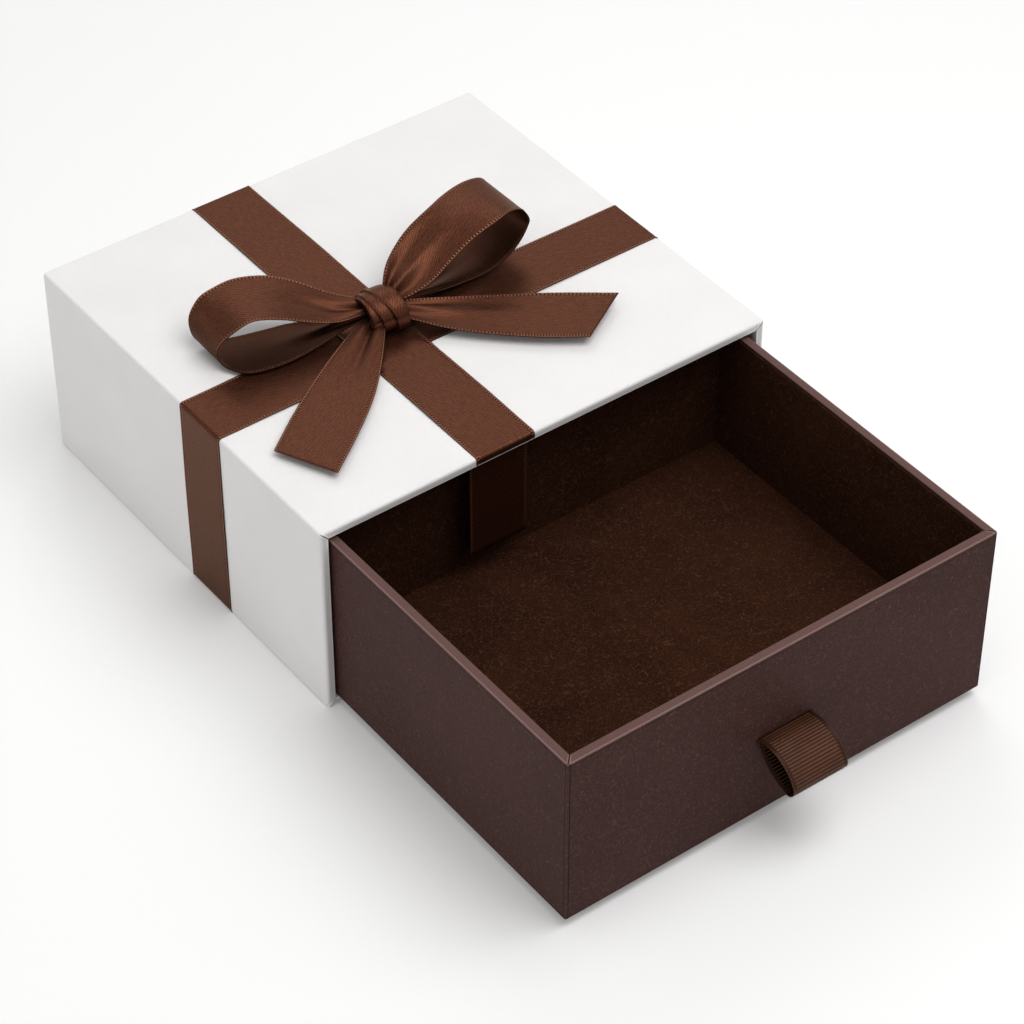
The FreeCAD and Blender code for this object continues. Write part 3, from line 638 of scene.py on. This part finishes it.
def bent_route(corners, run=4.0, turn=9.0):
    """Points, outward directions and lengths along a route with rounded corners in a plane."""
    points, normals = [], []

    def add(point, normal):
        if not points or (point - points[-1]).length > 1e-6:
            points.append(point)
            normals.append(normal)

    spots = [Vector((a, b, 0)) for a, b, _ in corners]
    last = spots[0]
    for i in range(1, len(spots)):
        before = (spots[i] - spots[i - 1]).normalized()
        radius = corners[i][2]
        cut = 0.0
        if i < len(spots) - 1:
            after = (spots[i + 1] - spots[i]).normalized()
            bend = before.angle(after)
            cut = radius * math.tan(bend / 2)
        end = spots[i] - before * cut
        normal = Vector((-before.y, before.x, 0))
        count = max(1, math.ceil((end - last).length / run))
        for k in range(count + 1):
            add(last.lerp(end, k / count), normal)
        last = end
        if cut:
            sign = 1 if before.x * after.y - before.y * after.x > 0 else -1
            centre = end + normal * radius * sign
            arc = max(2, math.ceil(math.degrees(bend) / turn))
            for k in range(1, arc + 1):
                turned = Matrix.Rotation(sign * bend * k / arc, 3, "Z") @ normal
                add(centre - turned * radius * sign, turned)
            last = points[-1]
    lengths = np.concatenate([[0], np.cumsum([(b - a).length for a, b in zip(points, points[1:])])])
    return points, normals, lengths


def tied_band(name, node, corners, set_out, slack):
    """A band of ribbon along a route, a little slack between the box's edges."""
    points, normals, lengths = bent_route(corners)
    acrosses = across_stations(RIBBON_WIDTH)

    def put(i, j):
        rise = selvedge_rise(acrosses[j], RIBBON_WIDTH) + slack(points[i], acrosses[j])
        spot = points[i] + normals[i] * rise
        return set_out(spot, acrosses[j])

    bm = woven_strip(list(lengths), acrosses, put)
    piece = new_piece(name, bm, "sleeve", "satin_ribbon", SATIN, node)
    give_thickness(piece, RIBBON)
    return piece


sleeve_low, sleeve_high = (Vector(corner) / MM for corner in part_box("sleeve_wrap"))
MOUTH, BACK, TOP, BASE = sleeve_low.y, sleeve_high.y, sleeve_high.z, sleeve_low.z
LIP = TOP - 6.0
EDGE = 2.0
HALF = RIBBON / 2
BEND = EDGE + HALF
CROSSING = MOUTH + 136.0
LENGTHWISE = -35.5


def swell(place, low, high, height):
    """A gentle rise between two places, nothing outside them."""
    share = (place - low) / (high - low)
    return height * math.sin(math.pi * share) ** 2 if 0 < share < 1 else 0.0


def lengthwise_slack(point, across):
    if point.y < TOP:
        return 0.0
    ripple = 0.10 * (1 + math.sin(point.x * 0.09 + across * 0.05))
    return swell(point.x, MOUTH + 8, CROSSING - 26, 0.55 + ripple) \
        + swell(point.x, CROSSING + 26, BACK - 8, 0.6 + ripple)


def crosswise_slack(point, across):
    if point.y < TOP:
        return swell(point.y, BASE + 6, TOP - 6, 0.35)
    ripple = 0.10 * (1 + math.sin(point.x * 0.08 - across * 0.06))
    return swell(point.x, -170, LENGTHWISE - 24, 0.5 + ripple) \
        + swell(point.x, LENGTHWISE + 24, 170, 0.6 + ripple)


hanging = MOUTH + 7.1 + 0.5 + HALF
tied_band(
    "satin_lengthwise", "ribbon_lengthwise",
    [(hanging, LIP - 82.5, 0), (hanging, LIP - HALF, 1.25), (MOUTH - HALF, LIP - HALF, BEND),
     (MOUTH - HALF, TOP + HALF, BEND), (CROSSING - 27, TOP + HALF, 6),
     (CROSSING - 23, TOP + RIBBON + HALF, 6), (CROSSING + 23, TOP + RIBBON + HALF, 6),
     (CROSSING + 27, TOP + HALF, 6), (BACK + HALF, TOP + HALF, BEND),
     (BACK + HALF, BASE - HALF, BEND), (MOUTH + 8.0, BASE - HALF, 0)],
    lambda spot, across: Vector((LENGTHWISE + across, spot.x, spot.y)),
    lengthwise_slack)
tied_band(
    "satin_crosswise", "ribbon_crosswise",
    [(sleeve_low.x + 35, BASE - HALF, 0), (sleeve_low.x - HALF, BASE - HALF, BEND),
     (sleeve_low.x - HALF, TOP + HALF, BEND), (sleeve_high.x + HALF, TOP + HALF, BEND),
     (sleeve_high.x + HALF, BASE - HALF, BEND), (sleeve_high.x - 35, BASE - HALF, 0)],
    lambda spot, across: Vector((spot.x, CROSSING + across, spot.y)),
    crosswise_slack)


# ------------------------------------------------------------------ bow
KNOT = Vector((-27.5, MOUTH + 149.0, TOP + 2 * RIBBON))


def level_directions(degrees):
    """Level directions along a heading and across it, the second one towards the mouth."""
    angle = math.radians(degrees)
    along = Vector((math.cos(angle), math.sin(angle), 0))
    across = Vector((math.sin(angle), -math.cos(angle), 0))
    return along, across if across.y < 0 else -across


def smooth_rows(stations, step):
    """Rows of values on a smooth curve through the stations, evenly spaced along its middle line."""
    knots = np.array(stations, float)

    def gaps_of(rows):
        middles = (rows[:, :3] + rows[:, 3:]) / 2
        return np.linalg.norm(middles[1:] - middles[:-1], axis=1)

    gaps = gaps_of(knots)
    at = np.concatenate([[0], np.cumsum(gaps)])
    slopes = np.empty_like(knots)
    slopes[1:-1] = (knots[2:] - knots[:-2]) / (at[2:] - at[:-2])[:, None]
    slopes[0] = (knots[1] - knots[0]) / gaps[0]
    slopes[-1] = (knots[-1] - knots[-2]) / gaps[-1]

    def value(place):
        i = min(np.searchsorted(at, place, side="right") - 1, len(gaps) - 1)
        u, gap = (place - at[i]) / gaps[i], gaps[i]
        return ((1 + 2 * u) * (1 - u) ** 2 * knots[i] + u * (1 - u) ** 2 * gap * slopes[i]
                + u * u * (3 - 2 * u) * knots[i + 1] + u * u * (u - 1) * gap * slopes[i + 1])

    fine = np.array([value(t) for t in np.linspace(0, at[-1], 600)])
    run = np.concatenate([[0], np.cumsum(gaps_of(fine))])
    count = math.ceil(run[-1] / step)
    lengths = np.linspace(0, run[-1], count + 1)
    rows = np.array([[np.interp(t, run, fine[:, k]) for k in range(6)] for t in lengths])
    return rows, lengths


ROW_STEP = 1.6
LONGEST_TAIL = 200.0                            # a strand longer than this comes back as a loop
# Where along a loop the painted shade on its turned-under strand begins, and over how much it fades in.
REVERSE_SHADE_FROM, REVERSE_SHADE_OVER = 0.47, 0.07         # shares of a loop's length


def bow_ribbon(name, node, degrees, stations, folds, cut=0.0):
    """A strand of the bow. A station is where its front edge is and where its back edge is, each
    as (out from the knot, across, up). A fold is (place across, spread, height, reach out)."""
    along, across = level_directions(degrees)
    rows, lengths = smooth_rows(stations, ROW_STEP)
    acrosses = across_stations(RIBBON_WIDTH)
    total = lengths[-1]
    looped = total > LONGEST_TAIL
    last = len(rows) - 1
    fronts = [KNOT + along * r[0] + across * r[1] + Vector((0, 0, r[2])) for r in rows]
    backs = [KNOT + along * r[3] + across * r[4] + Vector((0, 0, r[5])) for r in rows]
    middles = [(fronts[i] + backs[i]) / 2 for i in range(last + 1)]

    def put(i, j):
        v = acrosses[j] / (RIBBON_WIDTH / 2)
        tangent = (middles[min(i + 1, last)] - middles[max(i - 1, 0)]).normalized()
        normal = tangent.cross(fronts[i] - backs[i]).normalized()
        out = (rows[i][0] + rows[i][3]) / 2
        turned = -1 if looped and lengths[i] >= total / 2 else 1
        rise = sum(height * math.exp(-((v - place * turned) / spread) ** 2 - (out / reach) ** 2)
                   for place, spread, height, reach in folds)
        slant = max(0.0, (lengths[i] / total - 0.6) / 0.4) * math.tan(math.radians(cut))
        return middles[i] + (fronts[i] - backs[i]) * v / 2 + tangent * slant * acrosses[j] \
            + normal * (rise + selvedge_rise(acrosses[j], RIBBON_WIDTH))

    def turned_under(length):
        share = (length / total - REVERSE_SHADE_FROM) / REVERSE_SHADE_OVER
        return min(1.0, max(0.0, share)) if looped else 0.0

    bm = woven_strip(list(lengths), acrosses, put, turned_under)
    piece = new_piece(name, bm, "sleeve", "satin_ribbon", SATIN, node)
    give_thickness(piece, RIBBON)
    return piece


bow_ribbon("satin_loop_left", "bow_loop_left", 161, [
    (7, 5, 14, 7, -5, 17), (31, 13, 17, 29, -11.5, 22.5), (50, 15.5, 23, 50, -21.5, 30),
    (70, 15, 30, 69, -28.5, 34), (89, 15.5, 33.5, 90, -30.5, 35), (103, 19, 30, 106, -25.5, 34.5),
    (110.5, 17, 22, 117, -20.5, 32), (113.5, 13.5, 12, 124.5, -17.5, 19),
    (110.5, 18, 3.8, 121, -13, 5), (98, 28, 2.5, 103, -11.5, 2.5), (77, 27.5, 2.6, 78, -12.5, 2.5),
    (59, 22, 3, 60, -13.5, 3), (41, 14.5, 4.5, 40, -9, 6), (22, 8, 8, 22, -6, 9.5),
    (7, 5, 11, 7, -5, 12)],
    [(0.62, 0.34, 3.4, 34), (0.08, 0.26, -3.0, 44), (-0.45, 0.30, 1.6, 40)])
bow_ribbon("satin_loop_right", "bow_loop_right", 11, [
    (7, 5, 14, 7, -5, 19), (22, 11, 17, 17, -11.5, 29), (36, 15, 22, 31, -18, 32.5),
    (50, 16.5, 29, 50, -22.5, 37.5), (70, 18.5, 38, 70, -22.5, 43), (91, 22, 44, 90, -24.5, 44.5),
    (105, 21.5, 44, 108, -24.5, 44), (117, 21, 38, 123, -22.5, 40), (121, 23.5, 30, 127, -22, 31),
    (121, 22, 22.5, 124, -22, 20), (115, 22, 15.5, 114, -22, 11), (103, 22.5, 9.5, 100, -22.5, 6),
    (87, 20, 4, 85, -22, 4), (66, 15.5, 3.5, 64, -16, 5), (48, 12, 5.5, 46, -11, 7),
    (27, 8, 9, 26, -7, 9), (7, 5, 11, 7, -5, 11)],
    [(0.55, 0.30, 2.4, 38), (0.0, 0.22, -2.8, 52), (-0.5, 0.26, 2.2, 46), (-0.85, 0.12, -1.2, 60)])
bow_ribbon("satin_tail_front", "bow_tail_front", 217, [
    (7, 6, 9, 7, -6, 9), (20, 10, 9, 20, -10, 9), (45, 16, 5.5, 45, -16, 6.5),
    (75, 21, 3.5, 75, -21, 3.5), (110, 23, 3.5, 110, -23, 3.5), (152, 23, 4.4, 152, -23, 3.8)],
    [(0.5, 0.3, 1.8, 55), (0.0, 0.2, -3.0, 48), (-0.5, 0.3, 2.0, 55)], cut=12.0)
bow_ribbon("satin_tail_right", "bow_tail_right", -37, [
    (7, 6, 12, 7, -6, 14), (20, 9, 10, 20, -9, 13), (45, 15, 7, 45, -15, 10),
    (75, 20, 6, 75, -21, 7), (110, 23, 6, 110, -23, 7), (148, 23, 6.5, 148, -23, 7)],
    [(0.45, 0.3, 1.6, 55), (-0.1, 0.22, -2.4, 60), (-0.6, 0.28, 2.6, 60)], cut=-23.0)


def tie_knot():
    """Ribbon wound round the pleats, each turn stepping down from the last, its edges rolled."""
    axis = level_directions(-4)[0]
    front = Vector((axis.y, -axis.x, 0))
    middle_up = Vector((0, 0, 12.6))
    low_end, high_end, mean_radius, core_radius = -14.0, 12.4, 13.2, 8.4
    slant, side_drop = 5.0, 2.4
    # Each turn: its middle, half its width, its crown, and how far its lip stands up.
    turns = [(4.7, 7.6, 12.9, 0.7), (-4.9, 5.9, 11.6, 0.7), (-11.0, 2.9, 10.3, 0.6)]
    lengths = np.linspace(0, 2 * math.pi * mean_radius, 105)
    acrosses = np.linspace(low_end, high_end, 76)

    def put(i, j):
        angle = 2 * math.pi * i / (len(lengths) - 1)
        place = acrosses[j] - slant * math.sin(angle - 0.5) * (1 - (acrosses[j] / low_end) ** 2)
        radius = core_radius
        for middle, half, crown, lip in turns:
            u = (place - middle) / half
            if abs(u) < 1:
                bulge = (1 - abs(u) ** 5) ** 0.4
                rolled = lip * math.exp(-((u + 0.82) / 0.12) ** 2)
                radius = max(radius, crown - side_drop * (1 - bulge) + rolled)
        radius *= 1 - 0.02 * math.sin(2 * angle + 0.5)
        spread = math.sin(angle) * (1.3 + 0.6 * max(0.0, -math.cos(angle))) + 0.08
        return KNOT + middle_up + axis * acrosses[j] \
            + (front * spread + Vector((0, 0, math.cos(angle)))) * radius

    bm = woven_strip(list(lengths), list(acrosses), put)
    bmesh.ops.remove_doubles(bm, verts=bm.verts, dist=0.01 * MM)
    piece = new_piece("satin_knot", bm, "sleeve", "satin_ribbon", SATIN, "bow_knot")
    give_thickness(piece, RIBBON, -1.0)
    return piece


tie_knot()


# ------------------------------------------------------------------ pull tab
drawer_low, drawer_high = (Vector(corner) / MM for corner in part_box("drawer_wrap"))


def arc(centre, radius, first, last):
    """Points along an arc, its angles in degrees."""
    count = max(2, math.ceil(math.radians(abs(last - first)) * radius / 0.25))
    return [centre + Vector((math.cos(a), math.sin(a), 0)) * radius
            for a in np.radians(np.linspace(first, last, count + 1))]


def bearing(start, end):
    return math.degrees(math.atan2(end.y - start.y, end.x - start.x)) % 360


def strand_centre(nose, bend, to_nose, to_bend, side):
    """The centre of a strand's arc, from its distances to the centres of the nose and the bend."""
    along = bend - nose
    distance = along.length
    along.normalize()
    out = (to_nose ** 2 - to_bend ** 2 + distance ** 2) / (2 * distance)
    rise = math.sqrt(to_nose ** 2 - out ** 2)
    return nose + along * out + Vector((-along.y, along.x, 0)) * side * rise


def evenly(points, step):
    """The same route with its points at even steps, and its outward directions and lengths."""
    spots = np.array(points)[:, :2]
    run = np.concatenate([[0], np.cumsum(np.hypot(*(spots[1:] - spots[:-1]).T))])
    lengths = np.linspace(0, run[-1], math.ceil(run[-1] / step) + 1)
    even = np.column_stack([np.interp(lengths, run, spots[:, k]) for k in range(2)])
    ahead = np.gradient(even, axis=0)
    ahead /= np.hypot(*ahead.T)[:, None]
    return even, np.column_stack([-ahead[:, 1], ahead[:, 0]]), lengths


def fold_tab():
    """A loop of ribbed ribbon through the slit, its two ends glued up and down inside the board."""
    middle_x = (drawer_low.x + drawer_high.x) / 2
    half = TAB / 2
    wall, below_rim, reach = 5.6, 69.5, 32.5
    upper_radius, lower_radius, bend_radius, nose_radius = 27.0, 40.0, 6.5, 1.0
    inside = Vector((drawer_low.y + wall + half, drawer_high.z - below_rim, 0))
    nose = Vector((drawer_low.y - nose_radius, inside.y, 0))
    droop = math.radians(30.0)
    bend = nose + Vector((-math.cos(droop), -math.sin(droop), 0)) * reach
    upper = strand_centre(nose, bend, upper_radius - nose_radius, upper_radius - bend_radius, 1)
    lower = strand_centre(nose, bend, lower_radius - nose_radius, lower_radius - bend_radius, -1)
    glued, down, up = Vector((0, 14, 0)), Vector((0, -half, 0)), Vector((0, half, 0))
    corner = Vector((0.6, 0, 0))
    route = [inside - glued, inside + down * 2.5, inside + down - corner, nose + down]
    route += arc(lower, lower_radius - half, bearing(lower, nose) - 1.0, bearing(lower, bend))
    route += arc(bend, bend_radius - half, bearing(lower, bend), bearing(upper, bend))
    route += arc(upper, upper_radius - half, bearing(upper, bend), bearing(upper, nose) - 1.0)
    route += [nose + up, inside + up - corner, inside + up * 2.5, inside + glued]
    points, normals, lengths = evenly(route, 0.275)
    half_width = TAB_WIDTH / 2
    edge = [0.0, 0.25, 0.6, 0.95, 1.25, 1.5, 1.75, 2.0, 2.25, 2.6, 3.0]
    acrosses = [-half_width + e for e in edge] \
        + list(np.linspace(-half_width + 5, half_width - 5, 7)) \
        + [half_width - e for e in reversed(edge)]

    def put(i, j):
        inset = half_width - abs(acrosses[j])
        rib = 0.15 * math.cos(2 * math.pi * lengths[i] / RIB_PITCH)
        rib *= min(1.0, max(0.0, (inset - 2.3) / 0.5))
        border = 0.10 * math.exp(-((inset - 0.5) / 0.4) ** 2)
        spot = points[i] + normals[i] * (rib + border)
        return Vector((middle_x - acrosses[j], spot[0], spot[1]))

    bm = woven_strip(list(lengths), acrosses, put)
    piece = new_piece("grosgrain_tab", bm, "drawer", "grosgrain_ribbon", GROSGRAIN, "pull_tab")
    give_thickness(piece, TAB - 0.2)
    return piece


fold_tab()
